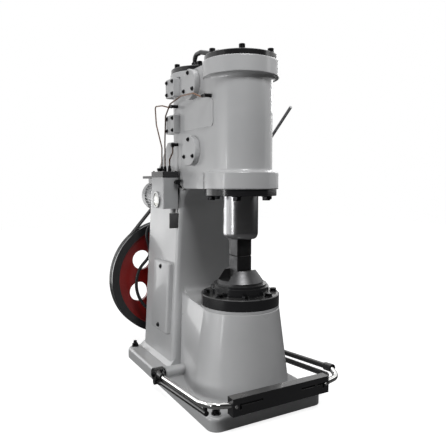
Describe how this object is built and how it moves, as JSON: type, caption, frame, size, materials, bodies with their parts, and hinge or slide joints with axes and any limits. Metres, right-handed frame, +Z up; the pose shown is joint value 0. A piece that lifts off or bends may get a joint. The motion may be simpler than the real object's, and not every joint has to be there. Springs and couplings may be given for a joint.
{
  "type": "pneumatic forging hammer",
  "caption": "Self-contained air forging hammer: one-piece cast frame, twin vertical cylinders, sliding ram with dies over an anvil, rear flywheel and foot treadle.",
  "frame": {"origin": "on the floor under the base plate, straight below the ram centre line", "axes": "+Z up along the ram, -Y towards the operator and the front treadle box, +X to the side with the hand lever"},
  "size_m": [0.6, 1.314, 1.434],
  "materials": {
    "grey_paint": "gloss",
    "black_paint": "gloss",
    "red_paint": "gloss",
    "bright_steel": "polished",
    "dark_steel": "ground",
    "chrome_tube": "polished",
    "copper_line": "bare",
    "black_fitting": "blackened",
    "sight_glass": "clear",
    "belt_rubber": "matt",
    "conduit_skin": "gloss",
    "box_grey": "satin"
  },
  "bodies": {
    "frame": {"access_screws": "black_fitting", "air_pipe": "black_paint", "anvil_cap": "black_paint", "anvil_cap_bolts": "black_fitting", "anvil_pedestal": "grey_paint", "anvil_ring": "black_paint", "base_plate": "grey_paint", "bearing_housing": "black_paint", "column": "grey_paint", "compressor_cover": "black_paint", "conduit": "conduit_skin", "cover_bolts": "black_fitting", "cover_screws": "black_fitting", "cylinder_block": "grey_paint", "cylinder_cover": "black_paint", "drive_belts": "belt_rubber", "gland_bolts": "black_fitting", "gland_plate": "black_paint", "lower_die": "dark_steel", "lubricator_bracket": "black_paint", "lubricator_crank": "black_fitting", "lubricator_lid": "black_paint", "lubricator_tank": "box_grey", "motor": "box_grey", "motor_bracket": "black_paint", "motor_pulley": "black_fitting", "oil_fittings": "black_fitting", "oil_lines": "copper_line", "port_covers": "grey_paint", "right_covers": "grey_paint", "side_access_cover": "grey_paint", "sight_glass": "sight_glass", "sow_block": "dark_steel", "sow_wedge": "dark_steel", "treadle_axles": "black_fitting", "valve_covers": "grey_paint"},
    "ram": {"ram": "bright_steel", "upper_die": "dark_steel"},
    "treadle": {"treadle_tube": "chrome_tube", "treadle_side_bars": "black_paint", "treadle_box": "black_paint", "treadle_collars": "black_paint"},
    "lever": {"control_lever": "bright_steel"},
    "wheel": {"flywheel": "red_paint", "crankshaft": "bright_steel"}
  },
  "joints": [
    {"name": "ram_slide", "type": "slide", "parent": "frame", "child": "ram", "axis": [0, 0, 1], "range_m": [0, 0.2]},
    {"name": "treadle_press", "type": "hinge", "parent": "frame", "child": "treadle", "pos_m": [0, 0.216, 0.072], "axis": [1, 0, 0], "range_deg": [0, 6], "stiffness_Nm_per_rad": 70, "springref_deg": -34.38},
    {"name": "lever_turn", "type": "hinge", "parent": "frame", "child": "lever", "pos_m": [0.16, 0.168, 1.005], "axis": [1, 0, 0], "range_deg": [-25, 30]},
    {"name": "flywheel_spin", "type": "hinge", "parent": "frame", "child": "wheel", "pos_m": [0, 0.77, 0.373], "axis": [0, 1, 0], "continuous": true}
  ]
}
